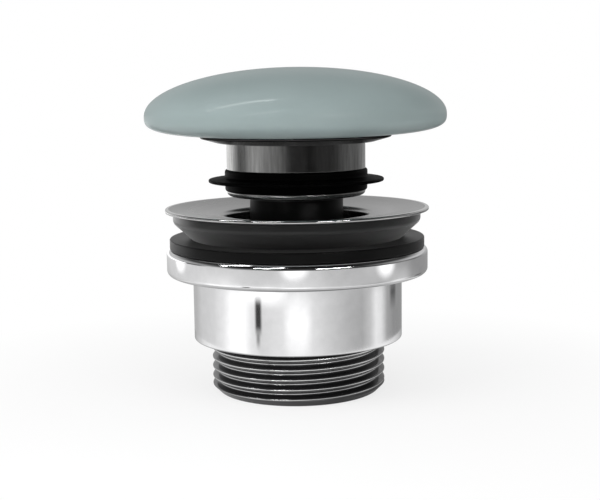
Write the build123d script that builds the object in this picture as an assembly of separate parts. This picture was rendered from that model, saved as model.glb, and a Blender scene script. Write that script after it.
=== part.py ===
from build123d import *
import os

# Sprung plug basin waste, in millimetres. The origin is the centre of the tail's end face and
# Z runs up the axis. The plug is raised, as it stands when the waste is open.

# Parallel pipe thread 1 1/4 on the tail
THREAD_D = 41.91
THREAD_PITCH = 2.309
THREAD_DEPTH = 0.640327 * THREAD_PITCH

# Waste body, from the rim down to the end of the tail
RIM_Z = 44.2
FLANGE_D = 63.4
RIM_EDGE = 0.7
RIM_LAND = 0.8
DISH_DEPTH = 1.6
FLANGE_WALL = 1.1
TAIL_WALL = 3.555
HOLE_ROUND = 2.0
RELIEF_WIDTH = 1.0
RELIEF_DEPTH = 0.6

# Cross at the foot of the tail that carries the cartridge
HUB_D = 14.0
HUB_HEIGHT = 5.0
HUB_LIFT = 5.0
ARM_WIDTH = 3.0
ARM_HEIGHT = 4.0

# Gasket under the flange
GASKET_D = 59.4
GASKET_EDGE_Z = RIM_Z - 3.35
GASKET_FOOT_D = 49.9
GASKET_HEIGHT = 7.13
GASKET_GAP = 0.1

# Loose rubber washer and collar nut
WASHER_D = 61.2
WASHER_THICK = 2.5
WASHER_GAP = 0.4
NUT_COLLAR_D = 62.8
NUT_COLLAR_HEIGHT = 5.83
NUT_BODY_D = 50.4
NUT_HEIGHT = 21.8
NUT_ROUND = 1.2
NUT_FOOT_ROUND = 1.4
NUT_GAP = 0.07

# Cartridge sleeve and its cap
SLEEVE_D = 22.4
SLEEVE_RISE = 4.6
SLEEVE_FLOOR = 7.0
SLEEVE_CAP_THICK = 2.5
SPRING_POST_D = 5.2
SPRING_POST_HEIGHT = 3.0
SLIDE_GAP = 0.08

# Plunger with the cam track that two pins ride in
DRUM_D = 15.4
DRUM_END_WALL = 2.5
NECK_D = 10.0
KEY_WIDTH = 2.0
KEY_HEIGHT = 1.4
SPRING_BORE_D = 8.6
SPRING_BORE_ROOF = 4.1
FULL_STROKE = 8.4
LATCHED_STROKE = 6.9
END_GAP = 0.2
TRACK_DEPTH = 1.3
TRACK_SLACK = 0.3
TRACK_OFFSET = 0.4
PRESS_ANGLE = 60.0
LATCH_ANGLE = 90.0

# Cam ring
RING_D = 19.0
RING_HEIGHT = 4.0
RING_DRUM_GAP = 0.3
RING_END_GAP = 0.1
PIN_D = 2.0
PIN_TIP_GAP = 0.2

# Spring
WIRE_D = 1.0
COIL_D = 7.1
COILS = 7

# Plug cup, seal, dished plate and ceramic cap
CUP_D = 33.2
CUP_HEIGHT = 12.55
CUP_WALL = 2.0
CUP_ROOF = 2.2
SEAL_BAND_D = 34.2
SEAL_FLOOR_D = 31.2
SEAL_FIN_D = 42.0
SEAL_FIN_THICK = 0.9
SEAL_BOTTOM = 1.21
SEAL_HEIGHT = 5.12
SEAL_FIN_RISE = 1.95
CUP_RING_D = 24.0
CUP_RING_SECTION = 1.2
PLATE_D = 45.8
PLATE_FLAT_D = 37.0
PLATE_THICK = 1.39
PLATE_EDGE = 0.5
CAP_D = 71.7
CAP_HEIGHT = 16.38
CAP_FOOT_D = 47.0
CAP_RECESS_DEPTH = 2.4

# Fixings
STUD_D = 6.0
STUD_HEAD_D = 20.0
STUD_HEAD_THICK = 2.2
STUD_REACH = 10.0
SCREW_D = 5.0
SCREW_HEAD_D = 9.2
SCREW_HEAD_HEIGHT = 3.0
SCREW_REACH = 6.0
SCREW_WASHER_D = 10.4
SCREW_WASHER_THICK = 0.8
HOLE_GAP = 0.2

# Heights and radii that follow from the sizes above
THREAD_R = THREAD_D / 2
BORE_R = THREAD_R - TAIL_WALL
FLANGE_ROOT_Z = RIM_Z - DISH_DEPTH - FLANGE_WALL
GASKET_BOTTOM = RIM_Z - GASKET_HEIGHT
WASHER_BOTTOM = GASKET_BOTTOM - WASHER_THICK
NUT_BOTTOM = WASHER_BOTTOM - NUT_HEIGHT
RELIEF_Z = NUT_BOTTOM - 0.4
HUB_TOP = HUB_LIFT + HUB_HEIGHT
SLEEVE_CAP_TOP = RIM_Z + SLEEVE_RISE
SLEEVE_TOP = SLEEVE_CAP_TOP - SLEEVE_CAP_THICK
SPRING_SEAT = HUB_TOP + SLEEVE_FLOOR
DRUM_TOP = SLEEVE_TOP - END_GAP
PIN_Z = DRUM_TOP - DRUM_END_WALL - FULL_STROKE
DRUM_BOTTOM = PIN_Z - DRUM_END_WALL
RING_BOTTOM = PIN_Z - RING_HEIGHT / 2
RING_BORE_R = DRUM_D / 2 + RING_DRUM_GAP
SPRING_TOP = DRUM_TOP - SPRING_BORE_ROOF
TRACK_FLOOR_R = DRUM_D / 2 - TRACK_DEPTH
PLUG_SEAT = SLEEVE_CAP_TOP + FULL_STROKE + END_GAP
CUP_TOP = PLUG_SEAT + CUP_ROOF
CUP_BOTTOM = CUP_TOP - CUP_HEIGHT
SEAL_Z = CUP_BOTTOM + SEAL_BOTTOM
PLATE_TOP = CUP_TOP + PLATE_THICK
CAP_TOP = PLATE_TOP + CAP_HEIGHT


def turned(corners, rounds=()):
    """A solid turned about Z from corners in radius and height; rounds pairs a corner's number
    with its radius."""
    outline = Plane.XZ * make_face(Polyline(*corners, close=True))
    for number, radius in rounds:
        r, z = corners[number]
        corner = outline.vertices().sort_by_distance(Vector(r, 0, z))[0]
        outline = fillet(corner, radius)
    return revolve(outline, Axis.Z)


def rod(radius, bottom, top):
    """A plain round bar on the axis between two heights."""
    return Pos(0, 0, bottom) * Cylinder(radius, top - bottom, align=(Align.CENTER, Align.CENTER, Align.MIN))


def under_flange(radius):
    """Height of the flange's conical underside at a radius."""
    share = (radius - THREAD_R) / (FLANGE_D / 2 - THREAD_R)
    return FLANGE_ROOT_Z + share * (RIM_Z - RIM_EDGE - FLANGE_ROOT_Z)


def waste_body():
    """Dished flange, bore, threaded tail and the cross, cast and turned in one piece."""
    edge = FLANGE_D / 2
    corners = [
        (BORE_R, 0),
        (THREAD_R - THREAD_DEPTH, 0),
        (THREAD_R, THREAD_DEPTH),
        (THREAD_R, RELIEF_Z),
        (THREAD_R - RELIEF_DEPTH, RELIEF_Z),
        (THREAD_R - RELIEF_DEPTH, RELIEF_Z + RELIEF_WIDTH),
        (THREAD_R, RELIEF_Z + RELIEF_WIDTH),
        (THREAD_R, FLANGE_ROOT_Z),
        (edge, RIM_Z - RIM_EDGE),
        (edge, RIM_Z),
        (edge - RIM_LAND, RIM_Z),
        (BORE_R, RIM_Z - DISH_DEPTH),
    ]
    body = turned(corners, [(11, HOLE_ROUND), (9, 0.45 * RIM_EDGE), (8, 0.45 * RIM_EDGE)])
    reach = BORE_R + 0.5 * (THREAD_R - THREAD_DEPTH - BORE_R)
    arm = Pos(0, 0, HUB_TOP - HUB_HEIGHT + ARM_HEIGHT / 2) * Box(2 * reach, ARM_WIDTH, ARM_HEIGHT)
    cross = Rot(0, 0, 45) * arm + Rot(0, 0, -45) * arm + rod(HUB_D / 2, HUB_LIFT, HUB_TOP)
    return body + cross - rod(SCREW_D / 2 + HOLE_GAP, HUB_LIFT, HUB_TOP)


def flange_gasket():
    """Tapered rubber gasket that seals the flange to the basin."""
    inner = THREAD_R + GASKET_GAP
    outer = GASKET_D / 2
    corners = [
        (inner, under_flange(inner)),
        (inner, GASKET_BOTTOM),
        (GASKET_FOOT_D / 2, GASKET_BOTTOM),
        (outer, GASKET_EDGE_Z),
        (outer, under_flange(outer)),
    ]
    return turned(corners, [(2, 1.2), (3, 0.4)])


def basin_washer():
    """Flat rubber washer that the nut presses against the basin."""
    inner = THREAD_R + WASHER_GAP
    outer = WASHER_D / 2
    corners = [
        (inner, WASHER_BOTTOM),
        (outer, WASHER_BOTTOM),
        (outer, GASKET_BOTTOM),
        (inner, GASKET_BOTTOM),
    ]
    return turned(corners, [(1, 0.3), (2, 0.3)])


def collar_nut():
    """Round nut with a wide collar, bored to the outside of the thread."""
    bore = THREAD_R + NUT_GAP
    collar = NUT_COLLAR_D / 2
    body = NUT_BODY_D / 2
    shoulder = WASHER_BOTTOM - NUT_COLLAR_HEIGHT
    lead = 0.6 * THREAD_DEPTH
    corners = [
        (bore, NUT_BOTTOM + lead),
        (bore + lead, NUT_BOTTOM),
        (body, NUT_BOTTOM),
        (body, shoulder),
        (collar, shoulder),
        (collar, WASHER_BOTTOM),
        (bore + lead, WASHER_BOTTOM),
        (bore, WASHER_BOTTOM - lead),
    ]
    foot_round = min(NUT_FOOT_ROUND, 0.8 * (body - bore - lead))
    return turned(corners, [(2, foot_round), (3, 0.5 * NUT_ROUND), (4, NUT_ROUND), (5, NUT_ROUND)])


def cartridge_sleeve():
    """Plastic tube that stands on the cross: spring seat, drum guide and ring chamber."""
    guide = DRUM_D / 2 + SLIDE_GAP
    chamber = RING_D / 2 + SLIDE_GAP
    tube = rod(SLEEVE_D / 2, HUB_TOP, SLEEVE_TOP)
    tube -= rod(guide, SPRING_SEAT, RING_BOTTOM)
    tube -= rod(chamber, RING_BOTTOM - RING_END_GAP, SLEEVE_TOP)
    tube += rod(SPRING_POST_D / 2, SPRING_SEAT, SPRING_SEAT + SPRING_POST_HEIGHT)
    return tube - rod(SCREW_D / 2, HUB_TOP, HUB_TOP + SCREW_REACH)


def key_ribs(width, height, bottom, top):
    """Two ribs on the neck that keep the plunger from turning."""
    rib = Pos(0, 0, (bottom + top) / 2) * Box(NECK_D + 2 * height, width, top - bottom)
    return rib


def sleeve_cap():
    """Cap on the sleeve, with a keyed hole for the neck and a skirt that holds the ring down."""
    skirt = RING_D / 2 + SLIDE_GAP
    lowest = RING_BOTTOM + RING_HEIGHT + RING_END_GAP
    corners = [
        (NECK_D / 2 + SLIDE_GAP, SLEEVE_TOP),
        (skirt - 1.48, SLEEVE_TOP),
        (skirt - 1.48, lowest),
        (skirt, lowest),
        (skirt, SLEEVE_TOP),
        (SLEEVE_D / 2, SLEEVE_TOP),
        (SLEEVE_D / 2, SLEEVE_CAP_TOP),
        (NECK_D / 2 + SLIDE_GAP, SLEEVE_CAP_TOP),
    ]
    cap = turned(corners, [(6, 0.6)])
    return cap - key_ribs(KEY_WIDTH + 2 * SLIDE_GAP, KEY_HEIGHT + SLIDE_GAP, SLEEVE_TOP, SLEEVE_CAP_TOP)


def track_stops():
    """The four points that a pin passes in half a turn, as angle and depth of stroke."""
    again = 2 * LATCH_ANGLE - PRESS_ANGLE
    return [
        (0, 0),
        (PRESS_ANGLE, FULL_STROKE),
        (LATCH_ANGLE, LATCHED_STROKE),
        (again, FULL_STROKE),
        (2 * LATCH_ANGLE, 0),
    ]


def track_leg(start, end):
    """One helical leg of the cam track. It leaves its first stop a little off centre, towards the
    way the pin will move, so that the pin always meets the slope that leads it on."""
    rising = end[1] > start[1]
    first = (start[0], start[1] + (TRACK_OFFSET if rising else -TRACK_OFFSET))
    low, high = (first, end) if rising else (end, first)
    climb = high[1] - low[1]
    deep = TRACK_DEPTH + 0.5
    path = Helix(climb * 360 / (end[0] - start[0]), climb, TRACK_FLOOR_R + deep / 2, lefthand=not rising)
    section = Plane(origin=path @ 0, x_dir=(1, 0, 0), z_dir=path % 0)
    groove = sweep(section * Rectangle(deep, PIN_D + 2 * TRACK_SLACK), path=path, is_frenet=True)
    stop = Plane.YZ * SlotCenterToCenter(TRACK_OFFSET, PIN_D + 2 * TRACK_SLACK, rotation=90)
    stop = Pos(TRACK_FLOOR_R, 0, (start[1] + first[1]) / 2) * extrude(stop, deep)
    return Pos(0, 0, low[1]) * Rot(0, 0, low[0]) * groove + Rot(0, 0, start[0]) * stop


def plunger():
    """Drum with the closed cam track, keyed neck, spring bore and tapped top."""
    neck = rod(NECK_D / 2, DRUM_TOP, PLUG_SEAT)
    body = rod(DRUM_D / 2, DRUM_BOTTOM, DRUM_TOP) + neck
    body += key_ribs(KEY_WIDTH, KEY_HEIGHT, DRUM_TOP, PLUG_SEAT)
    body -= rod(SPRING_BORE_D / 2, DRUM_BOTTOM, SPRING_TOP)
    body -= rod(STUD_D / 2, PLUG_SEAT - STUD_REACH, PLUG_SEAT)
    stops = track_stops()
    for half_turn in (0, 180):
        for start, end in zip(stops, stops[1:]):
            body -= Pos(0, 0, PIN_Z) * Rot(0, 0, half_turn) * track_leg(start, end)
    return body


def pin_blank(tip, end):
    """A round pin along X at the pins' height."""
    return Pos(tip, 0, PIN_Z) * Rot(0, 90, 0) * Cylinder(PIN_D / 2, end - tip, align=(Align.CENTER, Align.CENTER, Align.MIN))


def cam_ring():
    """Ring that turns in the sleeve and carries the two pins."""
    ring = rod(RING_D / 2, RING_BOTTOM, RING_BOTTOM + RING_HEIGHT)
    ring -= rod(RING_BORE_R, RING_BOTTOM, RING_BOTTOM + RING_HEIGHT)
    hole = pin_blank(RING_BORE_R - 1, RING_D / 2 + 1)
    return ring - hole - Rot(0, 0, 180) * hole


def cam_pin():
    """Steel pin pressed through the ring into the track."""
    pin = pin_blank(TRACK_FLOOR_R + PIN_TIP_GAP, RING_D / 2 - 0.1)
    return chamfer(pin.edges().filter_by(GeomType.CIRCLE), 0.15)


def plunger_spring():
    """Compression spring between the sleeve's floor and the plunger."""
    rise = SPRING_TOP - SPRING_SEAT - WIRE_D
    path = Helix(rise / COILS, rise, COIL_D / 2)
    section = Plane(origin=path @ 0, z_dir=path % 0) * Circle(WIRE_D / 2)
    return Pos(0, 0, SPRING_SEAT + WIRE_D / 2) * sweep(section, path=path, is_frenet=True)


def plug_cup():
    """Turned cup that hangs under the plate, with a groove for the seal and one for the ring."""
    wall = CUP_D / 2
    inner = wall - CUP_WALL
    hole = STUD_D / 2 + HOLE_GAP
    groove = SEAL_FLOOR_D / 2
    ring = CUP_RING_D / 2
    half = CUP_RING_SECTION / 2
    corners = [
        (hole, PLUG_SEAT),
        (inner, PLUG_SEAT),
        (inner, CUP_BOTTOM),
        (wall, CUP_BOTTOM),
        (wall, SEAL_Z),
        (groove, SEAL_Z),
        (groove, SEAL_Z + SEAL_HEIGHT),
        (wall, SEAL_Z + SEAL_HEIGHT),
        (wall, CUP_TOP),
        (ring + half, CUP_TOP),
        (ring + half, CUP_TOP - CUP_RING_SECTION),
        (ring - half, CUP_TOP - CUP_RING_SECTION),
        (ring - half, CUP_TOP),
        (hole, CUP_TOP),
    ]
    return turned(corners, [(3, 0.9 * SEAL_BOTTOM), (1, 1.0)])


def cup_ring():
    """Rubber ring pressed flat between the cup and the plate."""
    ring = CUP_RING_D / 2
    half = CUP_RING_SECTION / 2
    corners = [
        (ring - half, CUP_TOP - CUP_RING_SECTION),
        (ring + half, CUP_TOP - CUP_RING_SECTION),
        (ring + half, CUP_TOP),
        (ring - half, CUP_TOP),
    ]
    return turned(corners, [(number, 0.45 * CUP_RING_SECTION) for number in range(4)])


def plug_seal():
    """Rubber band in the cup's groove, with the thin fin that closes on the dish."""
    floor = SEAL_FLOOR_D / 2
    band = SEAL_BAND_D / 2
    fin = SEAL_FIN_D / 2
    fin_z = SEAL_Z + SEAL_FIN_RISE
    corners = [
        (floor, SEAL_Z),
        (band, SEAL_Z),
        (band, fin_z),
        (fin, fin_z),
        (fin, fin_z + SEAL_FIN_THICK),
        (band, fin_z + SEAL_FIN_THICK + 0.5),
        (band, SEAL_Z + SEAL_HEIGHT),
        (floor, SEAL_Z + SEAL_HEIGHT),
    ]
    rounds = [(1, 0.4), (2, 0.4), (3, 0.4), (4, 0.4), (5, 0.5), (6, 0.4)]
    return turned(corners, rounds)


def cap_plate():
    """Shallow pressed dish between the cup and the ceramic cap."""
    hole = STUD_D / 2 + HOLE_GAP
    corners = [
        (hole, CUP_TOP),
        (PLATE_FLAT_D / 2, CUP_TOP),
        (PLATE_D / 2, PLATE_TOP - PLATE_EDGE),
        (PLATE_D / 2, PLATE_TOP),
        (hole, PLATE_TOP),
    ]
    return turned(corners, [(1, 3.0), (2, 0.9 * PLATE_EDGE)])


def ceramic_cap():
    """Domed ceramic cap with a blunt turned-under edge and a recess for the stud's head."""
    wide = CAP_D / 2
    foot = CAP_FOOT_D / 2
    dome = Spline(
        (0, CAP_TOP),
        (0.415 * wide, CAP_TOP - 0.067 * CAP_HEIGHT),
        (0.695 * wide, CAP_TOP - 0.19 * CAP_HEIGHT),
        (0.882 * wide, CAP_TOP - 0.374 * CAP_HEIGHT),
        (0.98 * wide, CAP_TOP - 0.557 * CAP_HEIGHT),
        (wide, CAP_TOP - 0.685 * CAP_HEIGHT),
        (0.982 * wide, CAP_TOP - 0.803 * CAP_HEIGHT),
        (0.886 * wide, CAP_TOP - 0.925 * CAP_HEIGHT),
        (foot, PLATE_TOP),
        tangents=[(1, 0), (-1, -0.06)],
    )
    sides = Polyline((foot, PLATE_TOP), (0, PLATE_TOP), (0, CAP_TOP))
    cap = revolve(Plane.XZ * make_face(dome + sides), Axis.Z)
    return cap - rod(STUD_HEAD_D / 2 + HOLE_GAP, PLATE_TOP, PLATE_TOP + CAP_RECESS_DEPTH)


def plug_stud():
    """Stud set in the cap, through plate and cup, screwed into the plunger."""
    head = rod(STUD_HEAD_D / 2, PLATE_TOP, PLATE_TOP + STUD_HEAD_THICK)
    return head + rod(STUD_D / 2, PLUG_SEAT - STUD_REACH + 0.5, PLATE_TOP)


def screw_washer():
    """Plain washer under the mounting screw's head."""
    top = HUB_LIFT
    ring = rod(SCREW_WASHER_D / 2, top - SCREW_WASHER_THICK, top)
    return ring - rod(SCREW_D / 2 + HOLE_GAP, top - SCREW_WASHER_THICK, top)


def mounting_screw():
    """Pan head screw through the cross into the sleeve's floor, with a crossed slot."""
    seat = HUB_LIFT - SCREW_WASHER_THICK
    head = rod(SCREW_HEAD_D / 2, seat - SCREW_HEAD_HEIGHT, seat)
    head = fillet(head.edges().filter_by(GeomType.CIRCLE).sort_by(Axis.Z)[0], 1.2)
    slot = Pos(0, 0, seat - SCREW_HEAD_HEIGHT) * Box(0.6 * SCREW_HEAD_D, 1.2, 3.2)
    shank = rod(SCREW_D / 2, seat, HUB_TOP + SCREW_REACH - 0.5)
    return head + shank - slot - Rot(0, 0, 90) * slot


PIECES = {
    "waste_body": waste_body,
    "flange_gasket": flange_gasket,
    "basin_washer": basin_washer,
    "collar_nut": collar_nut,
    "cartridge_sleeve": cartridge_sleeve,
    "sleeve_cap": sleeve_cap,
    "plunger": plunger,
    "plunger_spring": plunger_spring,
    "cam_ring": cam_ring,
    "cam_pin_a": cam_pin,
    "cam_pin_b": lambda: Rot(0, 0, 180) * cam_pin(),
    "plug_cup": plug_cup,
    "cup_ring": cup_ring,
    "plug_seal": plug_seal,
    "cap_plate": cap_plate,
    "ceramic_cap": ceramic_cap,
    "plug_stud": plug_stud,
    "screw_washer": screw_washer,
    "mounting_screw": mounting_screw,
}

os.makedirs("parts", exist_ok=True)
for name, make in PIECES.items():
    export_step(make(), f"parts/{name}.step")
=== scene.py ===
import math

import bpy
import numpy as np
from mathutils import Matrix, Vector

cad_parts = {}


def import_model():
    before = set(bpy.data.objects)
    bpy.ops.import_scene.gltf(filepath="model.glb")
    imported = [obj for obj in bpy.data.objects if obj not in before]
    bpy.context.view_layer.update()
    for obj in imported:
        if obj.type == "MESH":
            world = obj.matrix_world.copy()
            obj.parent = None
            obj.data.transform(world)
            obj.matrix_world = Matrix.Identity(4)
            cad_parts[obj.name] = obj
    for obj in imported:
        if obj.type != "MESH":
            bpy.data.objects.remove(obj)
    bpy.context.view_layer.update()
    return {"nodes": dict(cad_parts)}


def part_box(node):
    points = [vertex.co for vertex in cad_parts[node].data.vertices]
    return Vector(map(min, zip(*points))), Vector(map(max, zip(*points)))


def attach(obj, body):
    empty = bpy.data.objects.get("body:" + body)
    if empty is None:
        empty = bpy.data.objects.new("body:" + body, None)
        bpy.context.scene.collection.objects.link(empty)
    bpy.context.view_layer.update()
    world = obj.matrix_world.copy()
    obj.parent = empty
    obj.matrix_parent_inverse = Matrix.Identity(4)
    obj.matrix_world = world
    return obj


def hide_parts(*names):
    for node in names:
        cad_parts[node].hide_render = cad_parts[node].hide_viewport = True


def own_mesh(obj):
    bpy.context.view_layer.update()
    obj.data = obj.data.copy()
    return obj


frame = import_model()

# Sizes are in millimetres and go into the meshes in metres. Heights run up from the tail's end.
MM = 0.001


def span(node):
    """Outer radius, lowest and highest point of a turned piece, from its box."""
    low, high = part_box(node)
    return high.x / MM, low.z / MM, high.z / MM


CAP_R, CAP_FOOT, CAP_TOP = span("ceramic_cap")
PLATE_R, PLATE_FOOT, PLATE_TOP = span("cap_plate")
CUP_R, CUP_FOOT, CUP_TOP = span("plug_cup")
FIN_R, SEAL_FOOT, SEAL_TOP = span("plug_seal")
FLANGE_R, TAIL_END, RIM_Z = span("waste_body")
GASKET_R, GASKET_FOOT, _ = span("flange_gasket")
WASHER_R, WASHER_FOOT, WASHER_TOP = span("basin_washer")
COLLAR_R, NUT_FOOT, NUT_TOP = span("collar_nut")
COIL_R, COIL_FOOT, COIL_TOP = span("plunger_spring")

# Parallel pipe thread 1 1/4 on the tail, and the fit of the nut on it
THREAD_R = 20.955
PITCH = 2.309
THREAD_DEPTH = 0.640327 * PITCH
CREST_ROUND = 0.137329 * PITCH
FLANK = math.radians(27.5)
NUT_PLAY = 0.1

# Profiles that the boxes don't give
BORE_R = 17.4
SHOULDER_Z = 28.45
NUT_R = 25.2
COLLAR_ROUND = 1.2
DISH_Z = RIM_Z - 1.6
FLANGE_ROOT_Z = RIM_Z - 2.7
RIM_EDGE = 0.7
RIM_LAND = 0.8
CONE_FOOT_R = 25.4
CONE_TOP_Z = RIM_Z - 3.2
RECESS_R = 10.2
RECESS_DEPTH = 2.4
PLATE_FLAT_R = 18.5
PLATE_BOW = 4.5
LIP_RISE = 0.42
LIP_HEIGHT = 0.6
CUP_WALL = 2.0
CUP_ROOF = 2.2
BAND_R = 17.1
SEAL_GROOVE_R = 15.6
FIN_Z = SEAL_FOOT + 1.95
FIN_THICK = 0.9
STUD_HOLE_R = 3.2
RING_R = 12.0
RING_GROOVE = 1.2
WIRE_D = 1.0
ARM_Z = 7.0
ARM_WIDTH = 3.0
ARM_HEIGHT = 4.0
ARM_BITE = 1.0
HUB_R = 7.0
HUB_BORE_R = 2.7
HUB_FOOT = 5.0
HUB_TOP = 10.0


def thread_drop(angle, height):
    """Depth of the thread below its crest. It depends only on how far a point is along the axis
    from the nearest crest of a right-handed helix: a crest arc, then a flank of 27.5 degrees, then
    a root arc of the same radius."""
    turn = height / PITCH - angle / (2 * np.pi)
    away = np.abs(turn - np.round(turn)) * PITCH
    half = PITCH / 2
    tangent = CREST_ROUND * math.cos(FLANK)
    crest = CREST_ROUND - np.sqrt(np.maximum(CREST_ROUND**2 - away**2, 0))
    flank = CREST_ROUND * (1 - math.sin(FLANK)) + (away - tangent) / math.tan(FLANK)
    root = THREAD_DEPTH - CREST_ROUND + np.sqrt(np.maximum(CREST_ROUND**2 - (half - away) ** 2, 0))
    return np.where(away < tangent, crest, np.where(away < half - tangent, flank, root))


def thread_painted_highlights(angle, height):
    """Painted highlight and shade on the thread, as a value from 0 to 1. A narrow painted highlight runs
    along each crest and each root, the upper flank brightens from its root to its crest as painted light, and
    the lower flank stays dark as painted shade. It depends on the same distance from the helix as the depth."""
    turn = height / PITCH - angle / (2 * np.pi)
    above = (turn - np.round(turn)) * PITCH
    away = np.abs(above)
    crest = np.exp(-((away / 0.15) ** 2))
    root = 0.75 * np.exp(-(((PITCH / 2 - away) / 0.13) ** 2))
    upper = 0.3 * np.clip(1 - above / (0.42 * PITCH), 0, 1) ** 2
    return np.maximum(np.maximum(crest, root), np.where(above > 0, upper, 0.05))


def outline(corners, arc=7):
    """A closed outline in radius and height. Each corner (radius, height, round, rows) becomes the
    arc of that round which touches its two runs, with a guard point a little way along each run,
    so that the light doesn't smear from the arc over the flat. rows divides the run after the
    corner: pairs of a length and the step between its points."""
    full = [tuple(corner) + (0.05, None)[len(corner) - 2:] for corner in corners]
    places = np.array([[c[0], c[1]] for c in full], float)
    starts, parts = [], []
    for number, (_, _, bend, rows) in enumerate(full):
        here = places[number]
        back = places[number - 1] - here
        ahead = places[(number + 1) % len(full)] - here
        back_run, ahead_run = np.linalg.norm(back), np.linalg.norm(ahead)
        back, ahead = back / back_run, ahead / ahead_run
        half = math.acos(max(-1.0, min(1.0, float(back @ ahead)))) / 2
        reach = bend / math.tan(half)
        middle = (back + ahead) / np.linalg.norm(back + ahead)
        centre = here + middle * bend / math.sin(half)
        first, last = here + back * reach - centre, here + ahead * reach - centre
        begin = math.atan2(first[1], first[0])
        sweep = (math.atan2(last[1], last[0]) - begin + math.pi) % (2 * math.pi) - math.pi
        at = begin + sweep * np.linspace(0, 1, arc)
        bow = centre + bend * np.column_stack([np.cos(at), np.sin(at)])
        guard = 0.1
        before = here + back * min(reach + guard, 0.45 * back_run + 0.5 * reach)
        after = here + ahead * min(reach + guard, 0.45 * ahead_run + 0.5 * reach)
        starts.append(before)
        parts.append((np.vstack([before, bow, after]), rows))
    line = []
    for number, (part, rows) in enumerate(parts):
        line.append(part)
        if rows:
            target = starts[(number + 1) % len(parts)]
            run = np.linalg.norm(target - part[-1])
            ends = np.cumsum([0] + [length for length, _ in rows])
            runs = zip(ends, ends[1:], rows)
            marks = np.concatenate([np.arange(a, b, step) for a, b, (_, step) in runs])
            marks = marks[(marks > 0.02) & (marks < run - 0.02), None]
            line.append(part[-1] + marks / run * (target - part[-1]))
    line = np.vstack(line)
    r, z = line.T
    area = np.sum(r * np.roll(z, -1) - np.roll(r, -1) * z)
    return line if area > 0 else line[::-1]


def add(name, data):
    """Links a new object with this data to the scene."""
    thing = bpy.data.objects.new(name, data)
    bpy.context.scene.collection.objects.link(thing)
    return thing


def skin(name, grid, loop=True, poles=False):
    """A mesh over a grid of points, in millimetres, that runs round the axis along its second
    index. loop joins its last row to its first, and poles closes its first and last row with a
    point each at their middle."""
    rows, cols = grid.shape[:2]
    at = np.arange(rows * cols).reshape(rows, cols)
    low = at if loop else at[:-1]
    high = np.roll(at, -1, axis=0) if loop else at[1:]
    faces = np.stack([low, np.roll(low, -1, 1), np.roll(high, -1, 1), high], -1).reshape(-1, 4).tolist()
    points = grid.reshape(-1, 3)
    if poles:
        ends = np.stack([grid[0].mean(0), grid[-1].mean(0)])
        count = len(points)
        foot, top = at[0], at[-1]
        faces += np.stack([np.full(cols, count), np.roll(foot, -1), foot], -1).tolist()
        faces += np.stack([np.full(cols, count + 1), top, np.roll(top, -1)], -1).tolist()
        points = np.vstack([points, ends])
    mesh = bpy.data.meshes.new(name)
    mesh.from_pydata((points * MM).tolist(), [], faces)
    mesh.polygons.foreach_set("use_smooth", np.ones(len(mesh.polygons), bool))
    mesh.update()
    return add(name, mesh)


def turned(name, line, sides=192, shape=None, loop=True, poles=False):
    """An outline carried round the axis: each point goes to (radius cos angle, radius sin angle,
    height). shape may change the radius by angle and height, as a thread does. loop and poles close
    the skin as in skin()."""
    angle = np.linspace(0, 2 * np.pi, sides, endpoint=False)[None, :]
    r = line[:, :1] + 0 * angle
    z = line[:, 1:] + 0 * angle
    if shape:
        r = shape(r, z, angle)
    return skin(name, np.stack([r * np.cos(angle), r * np.sin(angle), z], -1), loop, poles)


def ceramic_cap():
    """The dome runs from the foot up over the edge to the top: below its widest height the radius
    and drop follow a superellipse of power 3.4, and above it a quarter ellipse. The recess for the
    stud's head closes it underneath."""
    power = 3.4
    dome = 0.685 * (CAP_TOP - CAP_FOOT)
    widest = CAP_TOP - dome
    fall = np.linspace(0.0, 0.985, 60)
    under_r = CAP_R * (1 - fall**power) ** (1 / power)
    under = np.column_stack([under_r, widest - (widest - CAP_FOOT) * fall])[::-1]
    under[0, 1] = CAP_FOOT
    lift = np.linspace(0, 1, 90)[1:-1] * np.pi / 2
    upper = np.column_stack([CAP_R * np.cos(lift), widest + dome * np.sin(lift)])
    recess = CAP_FOOT * np.array([0, 1]) + [
        (0.4, RECESS_DEPTH),
        (RECESS_R - 0.3, RECESS_DEPTH),
        (RECESS_R - 0.1, RECESS_DEPTH - 0.05),
        (RECESS_R, RECESS_DEPTH - 0.2),
        (RECESS_R, 0.2),
        (RECESS_R + 0.05, 0.05),
        (RECESS_R + 0.2, 0.0),
    ]
    return turned("cap_dome", np.vstack([recess, under, upper]), sides=224, loop=False, poles=True)


def cap_plate():
    """Shallow pressing: a flat middle and a bowed side up to a rolled lip, whose top follows the
    underside of the cap."""
    lip = PLATE_TOP + LIP_RISE
    corners = [
        (STUD_HOLE_R, PLATE_FOOT),
        (PLATE_FLAT_R, PLATE_FOOT, PLATE_BOW),
        (PLATE_R, lip - LIP_HEIGHT, 0.5),
        (PLATE_R, lip, 0.1),
        (PLATE_FLAT_R - 3, PLATE_TOP, 1.0),
        (STUD_HOLE_R, PLATE_TOP),
    ]
    return turned("plate_pressing", outline(corners))


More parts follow.
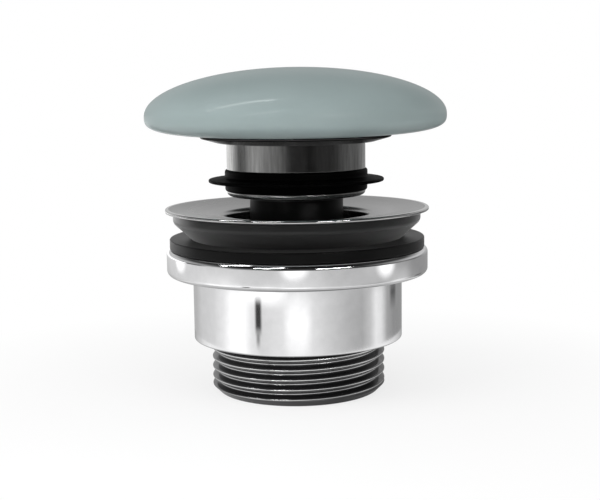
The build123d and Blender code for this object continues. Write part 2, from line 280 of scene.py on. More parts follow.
def plug_cup():
    """Turned cup, open below, with the seal's groove, a rounded foot and the ring's groove on top."""
    inner = CUP_R - CUP_WALL
    roof = CUP_TOP - CUP_ROOF
    bed = CUP_TOP - RING_GROOVE
    ring_outer = RING_R + RING_GROOVE / 2
    ring_inner = RING_R - RING_GROOVE / 2
    corners = [
        (STUD_HOLE_R, roof),
        (inner, roof, 1.0),
        (inner, CUP_FOOT, 0.3),
        (CUP_R, CUP_FOOT, 1.05),
        (CUP_R, SEAL_FOOT, 0.04),
        (SEAL_GROOVE_R, SEAL_FOOT),
        (SEAL_GROOVE_R, SEAL_TOP),
        (CUP_R, SEAL_TOP, 0.08),
        (CUP_R, CUP_TOP, 0.1),
        (ring_outer, CUP_TOP),
        (ring_outer, bed),
        (ring_inner, bed),
        (ring_inner, CUP_TOP),
        (STUD_HOLE_R, CUP_TOP),
    ]
    return turned("cup_shell", outline(corners))


def plug_seal():
    """Rubber band with soft shoulders, and a thin fin with a rounded tip."""
    corners = [
        (SEAL_GROOVE_R, SEAL_FOOT),
        (BAND_R - 0.1, SEAL_FOOT, 0.45),
        (BAND_R, FIN_Z, 0.4),
        (FIN_R, FIN_Z + 0.12, 0.3),
        (FIN_R, FIN_Z + FIN_THICK - 0.08, 0.3),
        (BAND_R, FIN_Z + FIN_THICK + 0.45, 0.5),
        (BAND_R, SEAL_TOP - 0.02, 0.6),
        (SEAL_GROOVE_R, SEAL_TOP),
    ]
    return turned("seal_band", outline(corners))


def under_flange(radius):
    """Height of the flange's conical underside at a radius."""
    share = (radius - THREAD_R) / (FLANGE_R - THREAD_R)
    return FLANGE_ROOT_Z + share * (RIM_Z - RIM_EDGE - FLANGE_ROOT_Z)


def waste_body():
    """Dish, bore and tail as one outline carried round the axis. Between the plain nose and the
    flange the radius is the crest less the thread's depth there, which fades in over half a
    millimetre and out over a pitch."""
    nose = TAIL_END + THREAD_DEPTH

    def threaded(r, z, angle):
        tail = (np.abs(r - THREAD_R) < 0.01) & (z < FLANGE_ROOT_Z - 0.3)
        share = np.clip((z - nose) / 0.5, 0, 1) * np.clip((FLANGE_ROOT_Z - 1.0 - z) / PITCH, 0, 1)
        return np.where(tail, r - share * thread_drop(angle, z), r)

    corners = [
        (BORE_R, TAIL_END, 0.25),
        (THREAD_R - THREAD_DEPTH, TAIL_END, 0.12),
        (THREAD_R, nose, 0.02, [(12, 0.055), (28, 0.115)]),
        (THREAD_R, FLANGE_ROOT_Z, 0.3),
        (FLANGE_R, RIM_Z - RIM_EDGE, 0.32),
        (FLANGE_R, RIM_Z, 0.32),
        (FLANGE_R - RIM_LAND, RIM_Z, 0.5),
        (BORE_R, DISH_Z, 1.0),
    ]
    casting = turned("body_casting", outline(corners), sides=144, shape=threaded)
    mesh = casting.data
    place = np.zeros(len(mesh.vertices) * 3, np.float32)
    mesh.vertices.foreach_get("co", place)
    x, y, z = place.reshape(-1, 3).T / MM
    tail = (np.hypot(x, y) > THREAD_R - THREAD_DEPTH - 0.01) & (z > nose) & (z < FLANGE_ROOT_Z)
    # Painted highlights along the thread's crests and roots and painted shade on its lower flanks, kept on
    # the points for the thread's material
    painted_highlight = np.where(tail, thread_painted_highlights(np.arctan2(y, x), z), 0.12)
    mesh.attributes.new("painted_highlight", "FLOAT", "POINT").data.foreach_set("value", painted_highlight.astype(np.float32))
    return casting


def flange_gasket():
    """Tapered gasket: a short upright edge that bows into a cone down to the washer."""
    inner = THREAD_R + 0.1
    corners = [
        (inner, under_flange(inner)),
        (inner, GASKET_FOOT),
        (CONE_FOOT_R, GASKET_FOOT, 0.3),
        (GASKET_R, CONE_TOP_Z, 1.6),
        (GASKET_R, under_flange(GASKET_R) - 0.01, 0.12),
    ]
    return turned("gasket_ring", outline(corners))


def basin_washer():
    """Flat ring of rubber with slightly softened edges."""
    inner = THREAD_R + 0.4
    corners = [
        (inner, WASHER_FOOT),
        (WASHER_R, WASHER_FOOT, 0.3),
        (WASHER_R, WASHER_TOP, 0.3),
        (inner, WASHER_TOP),
    ]
    return turned("washer_ring", outline(corners))


def collar_nut():
    """Round nut with a wide collar. Its bore has the tail's thread with a little play, so that it
    stays in mesh as it turns and travels by one pitch a turn. The thread runs out in a cone at each
    mouth."""
    bore = THREAD_R + NUT_PLAY
    lead = 0.9
    mouth_depth = 1.7
    mouth_slope = 1.4

    def tapped(r, z, angle):
        wall = np.abs(r - bore) < 0.01
        cut = bore - thread_drop(angle, z)
        past = np.maximum(NUT_FOOT + mouth_depth - z, z - NUT_TOP + mouth_depth)
        mouth = bore - THREAD_DEPTH + mouth_slope * past
        return np.where(wall, np.clip(np.maximum(cut, mouth), None, bore), r)

    corners = [
        (bore, NUT_FOOT + lead, 0.02),
        (bore + lead, NUT_FOOT, 0.1),
        (NUT_R, NUT_FOOT, 0.3),
        (NUT_R, SHOULDER_Z, 0.15),
        (COLLAR_R, SHOULDER_Z, COLLAR_ROUND),
        (COLLAR_R, NUT_TOP, COLLAR_ROUND),
        (bore + lead, NUT_TOP, 0.1),
        (bore, NUT_TOP - lead, 0.02, [(20, 0.11)]),
    ]
    return turned("nut_shell", outline(corners, arc=9), shape=tapped)


def plunger_spring():
    """A round wire carried along a helix. The first and last turns lie flat, because the climb is
    smoothed in over one turn at each end."""
    turns = 7
    along = np.linspace(0, 1, turns * 36)[:, None]
    low, high = COIL_FOOT + WIRE_D / 2, COIL_TOP - WIRE_D / 2
    rate = np.clip(np.minimum(along, 1 - along) * turns - 0.75, 0.12, 1.0)
    climb = np.cumsum(rate, axis=0) - rate[0]
    angle = 2 * np.pi * turns * along
    middle = COIL_R - WIRE_D / 2
    around = np.linspace(0, 2 * np.pi, 12, endpoint=False)[None, :]
    r = middle + WIRE_D / 2 * np.cos(around)
    z = low + (high - low) * climb / climb[-1] - WIRE_D / 2 * np.sin(around)
    grid = np.stack([r * np.cos(angle), r * np.sin(angle), z + 0 * angle], -1)
    return skin("coil_spring", grid, loop=False, poles=True)


def cross_arm(name, turn):
    """One bar of the cross: a rounded oblong section carried straight across the bore, where the
    section is a superellipse of power 6."""
    power = 6
    along = np.linspace(-1, 1, 25)[:, None] * (BORE_R + ARM_BITE)
    around = np.linspace(0, 2 * np.pi, 48, endpoint=False)[None, :]
    c, s = np.cos(around), np.sin(around)
    scale = (np.abs(c) ** power + np.abs(s) ** power) ** (-1 / power)
    across = ARM_WIDTH / 2 * c * scale + 0 * along
    up = ARM_Z + ARM_HEIGHT / 2 * s * scale + 0 * along
    x = along * math.cos(turn) - across * math.sin(turn)
    y = along * math.sin(turn) + across * math.cos(turn)
    return skin(name, np.stack([x, y, up], -1), loop=False, poles=True)


def cross_hub():
    """The boss in the middle of the cross, bored for the mounting screw."""
    corners = [
        (HUB_BORE_R, HUB_FOOT, 0.2),
        (HUB_R, HUB_FOOT, 0.5),
        (HUB_R, HUB_TOP, 0.3),
        (HUB_BORE_R, HUB_TOP, 0.1),
    ]
    return turned("cross_hub", outline(corners), sides=96)


def finish(name, colour, metallic=0.0, roughness=0.5, **settings):
    """A Principled material whose constants sit on the shader's own sockets. Returns the material,
    its node tree, its shader and the Object coordinates."""
    material = bpy.data.materials.new(name)
    material.use_nodes = True
    tree = material.node_tree
    shader = tree.nodes["Principled BSDF"]
    shader.inputs["Base Color"].default_value = (*colour, 1)
    shader.inputs["Metallic"].default_value = metallic
    shader.inputs["Roughness"].default_value = roughness
    for socket, value in settings.items():
        shader.inputs[socket.replace("_", " ")].default_value = value
    coordinates = tree.nodes.new("ShaderNodeTexCoord")
    return material, tree, shader, coordinates.outputs["Object"]


def speckle(tree, source, scale, detail=3.0, stretch=(1, 1, 1), turn=(0, 0, 0)):
    """Noise at a scale per metre, stretched along the axes. Returns its value."""
    place = tree.nodes.new("ShaderNodeMapping")
    place.inputs["Scale"].default_value = stretch
    place.inputs["Rotation"].default_value = turn
    tree.links.new(source, place.inputs["Vector"])
    noise = tree.nodes.new("ShaderNodeTexNoise")
    noise.inputs["Scale"].default_value = scale
    noise.inputs["Detail"].default_value = detail
    tree.links.new(place.outputs["Vector"], noise.inputs["Vector"])
    return noise.outputs["Fac"]


def between(tree, value, low, high, start=0.3, end=0.7):
    """A value mapped from start..end to low..high."""
    reach = tree.nodes.new("ShaderNodeMapRange")
    reach.inputs["From Min"].default_value = start
    reach.inputs["From Max"].default_value = end
    reach.inputs["To Min"].default_value = low
    reach.inputs["To Max"].default_value = high
    tree.links.new(value, reach.inputs["Value"])
    return reach.outputs["Result"]


def uneven(tree, shader, value, low, high, start=0.3, end=0.7):
    """Roughness that runs from low to high with a value."""
    tree.links.new(between(tree, value, low, high, start, end), shader.inputs["Roughness"])


def mottle(tree, shader, value, dark, light):
    """Colour that runs from dark to light with a value."""
    blend = tree.nodes.new("ShaderNodeMix")
    blend.data_type = "RGBA"
    blend.inputs["A"].default_value = (*dark, 1)
    blend.inputs["B"].default_value = (*light, 1)
    tree.links.new(value, blend.inputs["Factor"])
    tree.links.new(blend.outputs["Result"], shader.inputs["Base Color"])


def relief(tree, shader, value, depth, strength=1.0):
    """Bump of a depth in metres from a value."""
    bump = tree.nodes.new("ShaderNodeBump")
    bump.inputs["Distance"].default_value = depth
    bump.inputs["Strength"].default_value = strength
    tree.links.new(value, bump.inputs["Height"])
    tree.links.new(bump.outputs["Normal"], shader.inputs["Normal"])


def tone(*levels):
    """Linear colour from display levels of 0 to 255."""
    return tuple(((v / 255 + 0.055) / 1.055) ** 2.4 if v > 10 else v / 255 / 12.92 for v in levels)


def grey(level):
    """Neutral linear colour from a display level, kept within 1 to 255."""
    return tone(*[min(max(level, 1), 255)] * 3)


def sage_glaze():
    """Gloss glaze over ceramic, faintly cloudy, with a hint of pitting."""
    gloss = {"Coat_Weight": 0.25, "Coat_Roughness": 0.05, "Coat_IOR": 1.5, "Specular_IOR_Level": 0.2}
    material, tree, shader, place = finish("sage_glaze", tone(150, 163, 163), 0.0, 0.5, **gloss)
    clouds = speckle(tree, place, 55, 4)
    mottle(tree, shader, between(tree, clouds, 0, 1), tone(146, 160, 160), tone(152, 166, 166))
    relief(tree, shader, speckle(tree, place, 260, 2), 0.00004, 0.35)
    return material


def bright_chrome():
    """Polished plate with the faint ripple that buffing leaves."""
    material, tree, shader, place = finish("bright_chrome", tone(232, 232, 233), 1.0, 0.07)
    ripple = speckle(tree, place, 70, 1, (1, 1, 0.35))
    cloud = speckle(tree, place, 400, 3)
    uneven(tree, shader, ripple, 0.06, 0.09)
    mottle(tree, shader, between(tree, cloud, 0, 1), tone(236, 236, 237), tone(243, 243, 244))
    relief(tree, shader, ripple, 0.00003, 0.2)
    return material


def satin_plate(name, level, roughness, lines=900, tint=1.0):
    """Satin metal with fine turning lines round the axis. tint below 1 dulls what it reflects at a
    slant."""
    material, tree, shader, place = finish(name, grey(level), 1.0, roughness)
    shader.inputs["Specular Tint"].default_value = (tint, tint, tint, 1)
    turning = speckle(tree, place, 12, 4, (1, 1, lines / 12))
    uneven(tree, shader, turning, roughness * 0.8, roughness * 1.25)
    mottle(tree, shader, between(tree, turning, 0, 1), grey(level * 0.93), grey(level * 1.05))
    relief(tree, shader, turning, 0.000008, 0.25)
    return material


def brushed_cup():
    """Turned stainless: the lines round the axis spread the light up and down."""
    material, tree, shader, place = finish("brushed_cup", tone(178, 178, 177), 1.0, 0.18, Anisotropic=0.95)
    around = tree.nodes.new("ShaderNodeTangent")
    around.direction_type = "RADIAL"
    around.axis = "Z"
    tree.links.new(around.outputs["Tangent"], shader.inputs["Tangent"])
    turning = speckle(tree, place, 40, 3, (1, 1, 45))
    grain = speckle(tree, place, 1300, 3, (1, 1, 0.1))
    uneven(tree, shader, turning, 0.16, 0.19)
    mottle(tree, shader, between(tree, grain, 0, 1), tone(160, 160, 159), tone(190, 190, 189))
    relief(tree, shader, grain, 0.000003, 0.25)
    return material


def moulded_rubber(name, level, roughness, bloom=12, shine=0.3, dust=0.0):
    """Rubber with a faint bloom, a fine skin texture, and dust that shows at a slant."""
    settings = {"Specular_IOR_Level": shine, "Sheen_Weight": dust, "Sheen_Roughness": 0.4}
    material, tree, shader, place = finish(name, grey(level), 0.0, roughness, **settings)
    cloud = speckle(tree, place, 120, 5)
    share = between(tree, cloud, 0, 1, 0.1, 0.9)
    mottle(tree, shader, share, grey(level - bloom / 2), grey(level + bloom / 2))
    uneven(tree, shader, cloud, roughness * 0.85, roughness * 1.15, 0.1, 0.9)
    relief(tree, shader, speckle(tree, place, 1800, 2), 0.00001, 0.12)
    return material


def moulded_plastic(name, colour, roughness=0.4, shine=0.5):
    """Injection-moulded plastic with a fine even grain."""
    material, tree, shader, place = finish(name, tone(*colour), 0.0, roughness, Specular_IOR_Level=shine)
    share = between(tree, speckle(tree, place, 200, 3), 0, 1)
    dark = tone(*[v * 0.9 for v in colour])
    light = tone(*[min(v * 1.08 + 1, 255) for v in colour])
    mottle(tree, shader, share, dark, light)
    relief(tree, shader, speckle(tree, place, 2600, 2), 0.00002, 0.4)
    return material


def small_metal(name, colour, roughness=0.25):
    """Plain small hardware: wire, pins, screw, washer and stud."""
    material, tree, shader, place = finish(name, tone(*colour), 1.0, roughness)
    wear = speckle(tree, place, 700, 4)
    uneven(tree, shader, wear, roughness * 0.7, roughness * 1.4)
    mottle(tree, shader, between(tree, wear, 0, 1), tone(*[v * 0.88 for v in colour]), tone(*colour))
    relief(tree, shader, wear, 0.00002, 0.3)
    return material


def thread_metal():
    """Dull plate on the tail, with painted highlights along the thread's crests and roots and painted shade
    on its lower flanks.
    """
    material, tree, shader, place = finish("thread_metal", tone(120, 120, 121), 1.0, 0.12)
    painted_highlight = tree.nodes.new("ShaderNodeAttribute")
    painted_highlight.attribute_name = "painted_highlight"
    # Base colour from painted shade at 104 on the lower flanks to painted highlight at 246 on crests and
    # roots
    mottle(tree, shader, painted_highlight.outputs["Fac"], tone(104, 104, 105), tone(246, 246, 246))
    wear = speckle(tree, place, 420, 3, (1, 1, 2))
    uneven(tree, shader, wear, 0.08, 0.2)
    relief(tree, shader, wear, 0.00001, 0.2)
    return material


def bore_painted_shade():
    """Darker plate in the bore and on the cross, as painted shade inside the throat."""
    material, tree, shader, place = finish("bore_painted_shade", tone(120, 120, 121), 1.0, 0.2)
    wear = speckle(tree, place, 300, 3)
    uneven(tree, shader, wear, 0.15, 0.28)
    mottle(tree, shader, between(tree, wear, 0, 1), tone(112, 112, 113), tone(134, 134, 135))
    relief(tree, shader, wear, 0.00001, 0.2)
    return material


def dress(piece, *materials):
    """Gives a piece its materials in place of any it had."""
    piece.data.materials.clear()
    for material in materials:
        piece.data.materials.append(material)


def fit(piece, body, node, material):
    """Puts a made piece on its body in place of a solid."""
    dress(piece, material)
    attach(piece, body)
    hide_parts(node)
    return piece


def part_by_height(piece, materials, edges):
    """Gives each face one of the materials by its middle's radius and height. edges holds, for
    each material after the first, a test on arrays of radius and height."""
    mesh = piece.data
    middle = np.zeros(len(mesh.polygons) * 3, np.float32)
    mesh.polygons.foreach_get("center", middle)
    x, y, z = middle.reshape(-1, 3).T / MM
    chosen = np.zeros(len(mesh.polygons), np.int32)
    for number, test in enumerate(edges, 1):
        chosen[test(np.hypot(x, y), z)] = number
    dress(piece, *materials)
    mesh.polygons.foreach_set("material_index", chosen)
    mesh.update()


def make_pieces():
    """Makes every visible piece and gives every solid that stays its finish."""
    fit(ceramic_cap(), "plug", "ceramic_cap", sage_glaze())
    fit(cap_plate(), "plug", "cap_plate", satin_plate("dark_plate", 62, 0.2, tint=0.4))
    fit(plug_cup(), "plug", "plug_cup", brushed_cup())
    fit(plug_seal(), "plug", "plug_seal", moulded_rubber("seal_rubber", 2, 0.5, 2, 0.03))
    # Darker plate for the bore and the cross: painted shade inside the throat
    painted_shade_plate = bore_painted_shade()
    body = fit(waste_body(), "waste", "waste_body", painted_shade_plate)
    rim_r = FLANGE_R - 1.2
    dish_low = DISH_Z - 3
    part_by_height(
        body,
        [
            thread_metal(),
            satin_plate("dish_plate", 178, 0.24),
            satin_plate("rim_plate", 215, 0.06, 400),
            painted_shade_plate,
        ],
        [
            lambda r, z: (z > dish_low) & (r < rim_r),
            lambda r, z: (z > RIM_Z - 2.4) & (r >= rim_r),
            # the bore below the dish takes the painted shade plate
            lambda r, z: (z < dish_low) & (r < BORE_R + 0.05),
        ],
    )
    for piece in (cross_arm("cross_arm_1", math.pi / 4), cross_arm("cross_arm_2", -math.pi / 4), cross_hub()):
        dress(piece, painted_shade_plate)
        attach(piece, "waste")
    fit(flange_gasket(), "waste", "flange_gasket", moulded_rubber("gasket_rubber", 27, 0.3, 10, 0.3, 0.42))
    fit(basin_washer(), "washer", "basin_washer", moulded_rubber("washer_rubber", 4, 0.36, 3, 0.15, 0.08))
    fit(collar_nut(), "nut", "collar_nut", bright_chrome())
    spring = fit(plunger_spring(), "waste", "plunger_spring", small_metal("spring_wire", (190, 190, 190)))
    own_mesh(spring)
    pin_steel = small_metal("pin_steel", (205, 205, 205), 0.15)
    solids = {
        "cartridge_sleeve": moulded_plastic("black_plastic", (5, 5, 5), 0.4, 0.2),
        "sleeve_cap": moulded_plastic("cap_plastic", (24, 24, 24), 0.4),
        "plunger": moulded_plastic("white_plastic", (222, 222, 214), 0.35),
        "cam_ring": moulded_plastic("grey_plastic", (185, 188, 184), 0.35),
        "cam_pin_a": pin_steel,
        "cam_pin_b": pin_steel,
        "cup_ring": moulded_rubber("ring_rubber", 20, 0.4, 6),
        "plug_stud": small_metal("stud_brass", (205, 170, 100), 0.25),
        "screw_washer": small_metal("washer_steel", (190, 190, 188), 0.3),
        "mounting_screw": small_metal("screw_steel", (198, 198, 196), 0.25),
    }
    for node, material in solids.items():
        dress(frame["nodes"][node], material)


# Studio: the floor is z = 0, the camera stands in front on -Y
CAMERA_X = 0.68
CAMERA_Y = -285.1
CAMERA_Z = 73.0
CAMERA_PITCH = math.radians(7.88)
CAMERA_ROLL = 0.013
LENS = 71.35


def camera():
    """Camera at the photograph's place, pitched down and rolled a little."""
    data = bpy.data.cameras.new("camera")
    data.lens = LENS
    data.sensor_width = 36
    data.sensor_fit = "HORIZONTAL"
    data.clip_start = 0.01
    ahead = np.array([0, math.cos(CAMERA_PITCH), -math.sin(CAMERA_PITCH)])
    level_up = np.array([0, math.sin(CAMERA_PITCH), math.cos(CAMERA_PITCH)])
    level_right = np.array([1.0, 0, 0])
    right = math.cos(CAMERA_ROLL) * level_right - math.sin(CAMERA_ROLL) * level_up
    up = math.sin(CAMERA_ROLL) * level_right + math.cos(CAMERA_ROLL) * level_up
    place = np.array([CAMERA_X, CAMERA_Y, CAMERA_Z]) * MM
    eye = add("camera", data)
    eye.matrix_world = Matrix([*np.column_stack([right, up, -ahead, place]).tolist(), [0, 0, 0, 1]])
    bpy.context.scene.camera = eye


def bare_tree(owner):
    """The emptied node tree of a stage material or of the world."""
    owner.use_nodes = True
    owner.node_tree.nodes.clear()
    return owner.node_tree


def sockets(tree, kind, *names):
    """A new node of a kind. Returns its outputs by these names."""
    node = tree.nodes.new(kind)
    return [node.outputs[name] for name in names]


def calc(tree, operation, *operands):
    """A Math node over sockets and numbers. Returns its value."""
    node = tree.nodes.new("ShaderNodeMath")
    node.operation = operation
    for number, operand in enumerate(operands):
        if isinstance(operand, bpy.types.NodeSocket):
            tree.links.new(operand, node.inputs[number])
        else:
            node.inputs[number].default_value = operand
    return node.outputs["Value"]


def length_of(tree, vector):
    """Length of a vector."""
    node = tree.nodes.new("ShaderNodeVectorMath")
    node.operation = "LENGTH"
    tree.links.new(vector, node.inputs[0])
    return node.outputs["Value"]


def reach_along(tree, vector, axis):
    """How far a vector reaches along an axis of length 1."""
    node = tree.nodes.new("ShaderNodeVectorMath")
    node.operation = "DOT_PRODUCT"
    node.inputs[1].default_value = axis
    tree.links.new(vector, node.inputs[0])
    return node.outputs["Value"]


def split(tree, vector):
    """The X, Y and Z of a vector."""
    node = tree.nodes.new("ShaderNodeSeparateXYZ")
    tree.links.new(vector, node.inputs["Vector"])
    return node.outputs["X"], node.outputs["Y"], node.outputs["Z"]


def glow(tree, strength, kind="ShaderNodeEmission"):
    """White light of a strength, which is a number or a socket. Returns the shader."""
    node = tree.nodes.new(kind)
    node.inputs["Color"].default_value = (1, 1, 1, 1)
    if isinstance(strength, bpy.types.NodeSocket):
        tree.links.new(strength, node.inputs["Strength"])
    else:
        node.inputs["Strength"].default_value = strength
    return node.outputs[0]


def cross_fade(tree, share, first, second):
    """A shader that runs from the first to the second with a share of 0 to 1."""
    node = tree.nodes.new("ShaderNodeMixShader")
    tree.links.new(share, node.inputs["Fac"])
    tree.links.new(first, node.inputs[1])
    tree.links.new(second, node.inputs[2])
    return node.outputs["Shader"]


def show(tree, shader, kind="ShaderNodeOutputMaterial"):
    """Ends a node tree with a shader."""
    tree.links.new(shader, tree.nodes.new(kind).inputs["Surface"])


def reflected_only(name, points, faces):
    """Adds stage furniture that only shiny surfaces see, from points in millimetres. Returns the
    empty node tree of its material."""
    mesh = bpy.data.meshes.new(name)
    mesh.from_pydata([tuple(float(v) * MM for v in p) for p in points], [], faces)
    panel = add(name, mesh)
    material = bpy.data.materials.new(name)
    panel.data.materials.append(material)
    panel.visible_camera = False
    panel.visible_diffuse = False
    panel.visible_shadow = False
    return bare_tree(material)


def card(name, bearing, distance, width, low, high, strength, edge=2.0, oval=False, ends=None):
    """Upright card. bearing is in degrees from the camera's side, to the right, about the axis. The
    card clears over its last few millimetres, over another width at its ends if given, or from its
    middle outward if oval, so that its reflection has a soft edge."""
    a = math.radians(bearing)
    centre = np.array([math.sin(a), -math.cos(a)]) * distance
    side = np.array([math.cos(a), math.sin(a)])
    left, right = centre - side * width / 2, centre + side * width / 2
    points = [(*left, low), (*right, low), (*right, high), (*left, high)]
    tree = reflected_only(name, points, [(0, 1, 2, 3)])
    (place,) = sockets(tree, "ShaderNodeTexCoord", "Object")
    middle = (*centre, (low + high) / 2)
    shares = []
    for axis, half, soft in (((*side, 0), width / 2, ends or edge), ((0, 0, 1), (high - low) / 2, edge)):
        start = float(np.dot(axis, middle)) * MM
        away = calc(tree, "ABSOLUTE", calc(tree, "SUBTRACT", reach_along(tree, place, axis), start))
        if oval:
            shares.append(between(tree, away, 0.0, 1.0, 0, half * MM))
        else:
            shares.append(between(tree, away, 1.0, 0.0, max(half - soft, 0) * MM, half * MM))
    if oval:
        pair = tree.nodes.new("ShaderNodeCombineXYZ")
        tree.links.new(shares[0], pair.inputs["X"])
        tree.links.new(shares[1], pair.inputs["Y"])
        cover = between(tree, length_of(tree, pair.outputs["Vector"]), 1.0, 0.0, 0.35, 1.0)
    else:
        cover = calc(tree, "MULTIPLY", *shares)
    (clear,) = sockets(tree, "ShaderNodeBsdfTransparent", "BSDF")
    show(tree, cross_fade(tree, cover, clear, glow(tree, strength)))


def strip(name, start, end, width, strength):
    """Narrow strip light from start to end that faces the object."""
    start, end = np.array(start, float), np.array(end, float)
    side = np.cross(end - start, (start + end) / 2)
    side *= width / 2 / np.linalg.norm(side)
    points = [start - side, end - side, end + side, start + side]
    tree = reflected_only(name, points, [(0, 1, 2, 3)])
    show(tree, glow(tree, strength))


def surround(name, distance, low, high, levels, soften):
    """Upright ring of light round the object. levels gives its strength by bearing in degrees, and
    soften is the share of its height over which it fades out at the top."""
    angle = np.linspace(-np.pi, np.pi, 97)
    x, y = distance * np.sin(angle), -distance * np.cos(angle)
    count = len(angle)
    points = np.vstack([np.column_stack([x, y, np.full(count, z)]) for z in (low, high)])
    faces = [(i, i + 1, count + i + 1, count + i) for i in range(count - 1)]
    tree = reflected_only(name, points, faces)
    (place,) = sockets(tree, "ShaderNodeTexCoord", "Object")
    across, back, up = split(tree, place)
    bearing = calc(tree, "ARCTAN2", across, calc(tree, "MULTIPLY", back, -1.0))
    ramp = tree.nodes.new("ShaderNodeValToRGB")
    ramp.color_ramp.interpolation = "LINEAR"
    stops = ramp.color_ramp.elements
    while len(stops) > 1:
        stops.remove(stops[-1])
    top = max(level for _, level in levels)
    for number, (degrees, level) in enumerate(levels):
        stop = stops[0] if number == 0 else stops.new(degrees / 360 + 0.5)
        stop.position = degrees / 360 + 0.5
        stop.color = (level / top, level / top, level / top, 1)
    tree.links.new(between(tree, bearing, 0.0, 1.0, -math.pi, math.pi), ramp.inputs["Fac"])
    light = tree.nodes.new("ShaderNodeEmission")
    light.inputs["Strength"].default_value = top
    tree.links.new(ramp.outputs["Color"], light.inputs["Color"])
    (clear,) = sockets(tree, "ShaderNodeBsdfTransparent", "BSDF")
    fade_from = high - soften * (high - low)
    fade = between(tree, up, 0.0, 1.0, fade_from * MM, high * MM)
    show(tree, cross_fade(tree, fade, light.outputs["Emission"], clear))


def floor():
    """Wide pale floor. Straight from the camera it is white with a soft shadow near the object.
    Shiny surfaces see it glow with painted light: a painted shadow right under the object, less dark on its
    left, a painted ring of light round it, and dark behind and far away."""
    size = 3.0
    mesh = bpy.data.meshes.new("floor")
    corners = [(-size, -size, 0), (size, -size, 0), (size, size, 0), (-size, size, 0)]
    mesh.from_pydata(corners, [], [(0, 1, 2, 3)])
    ground = add("floor", mesh)
    material = bpy.data.materials.new("floor_paper")
    ground.data.materials.append(material)
    tree = bare_tree(material)
    (place,) = sockets(tree, "ShaderNodeTexCoord", "Object")
    straight, glossy = sockets(tree, "ShaderNodeLightPath", "Is Camera Ray", "Is Glossy Ray")
    across, back, _ = split(tree, place)
    out = length_of(tree, place)
    matt = tree.nodes.new("ShaderNodeBsdfDiffuse")
    matt.inputs["Color"].default_value = (0.85, 0.85, 0.85, 1)
    paper = matt.outputs["BSDF"]
    pale = cross_fade(tree, between(tree, out, 0.76, 1.0, 0.02, 0.11), paper, glow(tree, 1.0))
    # Painted shadow right under the object, lifted by painted light on its left; only shiny surfaces see it
    under = between(tree, out, 0.1, 0.55, 0.025, 0.042)
    left = between(tree, across, 0.42, 0.16, -0.025, 0.01)
    near = calc(tree, "MAXIMUM", under, left)
    # Painted ring of light round the object, fading to dark far out and behind
    painted_light_ring = between(tree, out, 1.0, 1.8, 0.058, 0.076)
    away = between(tree, out, 1.0, 0.06, 0.1, 0.33)
    behind = between(tree, back, 1.0, 0.2, 0.01, 0.08)
    level = calc(tree, "MULTIPLY", calc(tree, "MULTIPLY", near, painted_light_ring), calc(tree, "MULTIPLY", away, behind))
    floor_painted_reflection = cross_fade(tree, glossy, paper, glow(tree, level))
    show(tree, cross_fade(tree, straight, floor_painted_reflection, pale))


def world():
    """White to the camera, an even soft dome for matt surfaces, and a dim studio for shiny ones:
    dark in front, paler behind the object, and darker again towards the top."""
    sky = bpy.data.worlds.new("studio")
    bpy.context.scene.world = sky
    tree = bare_tree(sky)
    (way,) = sockets(tree, "ShaderNodeTexCoord", "Generated")
    straight, glossy = sockets(tree, "ShaderNodeLightPath", "Is Camera Ray", "Is Glossy Ray")
    _, back, up = split(tree, way)
    top = between(tree, up, 1.0, 0.1, 0.3, 0.55)
    behind = between(tree, back, 0.05, 0.56, -0.5, 0.6)
    backdrop = "ShaderNodeBackground"
    dome = glow(tree, 0.45, backdrop)
    dim = glow(tree, calc(tree, "MULTIPLY", top, behind), backdrop)
    lit = cross_fade(tree, glossy, dome, dim)
    show(tree, cross_fade(tree, straight, lit, glow(tree, 1.0, backdrop)), "ShaderNodeOutputWorld")


def hang(name, data, place, aim):
    """Hangs a lamp at a place, turned to a point, so that it leaves no glint."""
    lamp = add(name, data)
    lamp.location = place
    lamp.visible_glossy = False
    lamp.rotation_euler = (Vector(aim) - Vector(place)).to_track_quat("-Z", "Y").to_euler()


def softbox(name, place, size, power):
    """Square area light that looks at the middle of the object."""
    data = bpy.data.lights.new(name, "AREA")
    data.size = size
    data.energy = power
    hang(name, data, place, (0, 0, 0.04))


def table_light(name, place, aim, power):
    """Spot that falls on the floor in front, which lights the undersides from below."""
    data = bpy.data.lights.new(name, "SPOT")
    data.energy = power
    data.spot_size = 0.34
    data.spot_blend = 0.8
    data.shadow_soft_size = 0.05
    hang(name, data, place, aim)


# Strength of the light round the nut, the collar and, further out, the plug, by bearing in degrees
NUT_LIGHT = [
    (-180, 0.45), (-130, 0.5), (-112, 0.66), (-88, 0.74), (-74, 0.95), (-65, 1.22), (-51, 1.22), (-43, 0.92),
    (-34, 0.76), (-20, 0.84), (-10, 0.92), (0, 1.0), (12, 0.86), (30, 0.66), (48, 0.5), (62, 0.44), (72, 0.6),
    (80, 0.92), (88, 0.84), (98, 0.4), (112, 0.3), (135, 0.3), (180, 0.45),
]
COLLAR_LIGHT = [
    (-180, 0.45), (-125, 0.72), (-97, 0.76), (-79, 0.71), (-65, 0.70), (-52, 0.73), (-40, 0.71), (-30, 0.67),
    (-20, 0.65), (-9, 0.7), (0, 0.72), (10, 0.7), (20, 0.58), (30, 0.55), (41, 0.53), (53, 0.58), (66, 0.58),
    (80, 0.41), (99, 0.3), (117, 0.3), (180, 0.4),
]
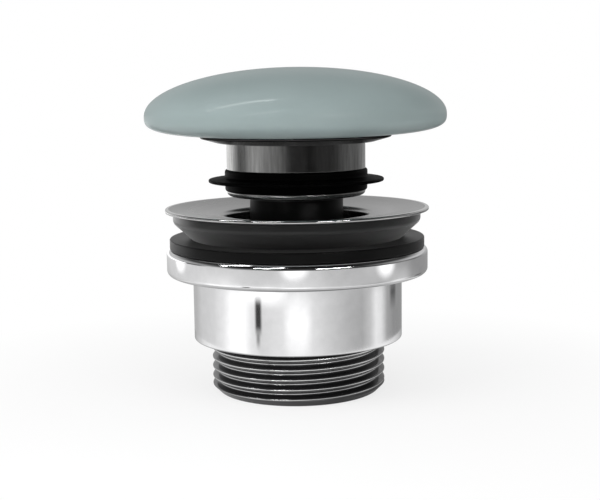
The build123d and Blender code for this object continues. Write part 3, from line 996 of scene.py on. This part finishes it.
PLUG_LIGHT = [
    (-180, 0.6), (-165, 1.2), (-146, 1.3), (-128, 1.2), (-118, 0.7), (-110, 0.12), (-88, 0.12), (-78, 0.62),
    (-62, 0.62), (-54, 0.34), (-36, 0.32), (-26, 0.26), (-16, 0.08), (-6, 0.0), (0, 0.0), (6, 0.08),
    (12, 0.02), (24, 0.0), (36, 0.05), (64, 0.03), (78, 0.12), (100, 0.2), (115, 0.14), (138, 0.35),
    (160, 0.5), (180, 0.8),
]


def studio():
    """Camera, floor, soft light and the rings, cards and strips that the metal reflects."""
    camera()
    world()
    floor()
    softbox("key_light", (-0.66, -0.36, 0.6), 0.6, 4.6)
    softbox("fill_light", (0.4, -0.5, 0.6), 0.6, 2.0)
    softbox("low_light", (-0.5, -0.75, 0.05), 0.5, 0.3)
    table_light("table_light", (-0.12, -0.52, 0.6), (-0.05, -0.185, 0), 26)
    surround("nut_surround", 78, 0.5, 25, NUT_LIGHT, 0.4)
    surround("collar_surround", 80, 0.5, 30.5, COLLAR_LIGHT, 0.1)
    card("front_card", 0.0, 74, 35, 0.5, 19.5, 1.3, 10.0)
    card("brow_card", -31, 72, 70, 14.5, 23.2, 1.35, 3.5, ends=20)
    card("dark_post", -35.3, 70, 9.4, 7.4, 18.6, 0.05, 2.6)
    card("dark_post_foot", -35.5, 69, 6.2, 4.0, 10.5, 0.3, 2.6)
    card("dark_corner", 110, 74, 22, 9.5, 20, 0.1, 6.0)
    card("left_spot", -101, 76, 27, 21.5, 28.5, 1.5, oval=True)
    card("front_spot", -2, 76, 32, 23.2, 31.0, 1.5, oval=True)
    card("right_spot", 66, 76, 28, 21.8, 29.4, 1.4, oval=True)
    card("left_sheen", -112, 95, 60, 27, 38.5, 1.6, 4.0)
    surround("plug_surround", 265, 0.5, 72, PLUG_LIGHT, 0.3)
    strip("left_strip", (-675, -194, 500), (-451, -103, 500), 40, 12.0)
    strip("middle_strip", (-384, -77, 500), (-61, 49, 500), 34, 12.0)
    strip("front_strip_left", (-604, -745, 500), (-340, -680, 500), 42, 22.0)
    strip("front_strip", (-340, -680, 500), (-102, -415, 500), 34, 16.0)
    strip("right_strip", (248, -865, 255), (647, -625, 285), 36, 22.0)


make_pieces()
studio()
bpy.context.scene.view_settings.view_transform = "Standard"
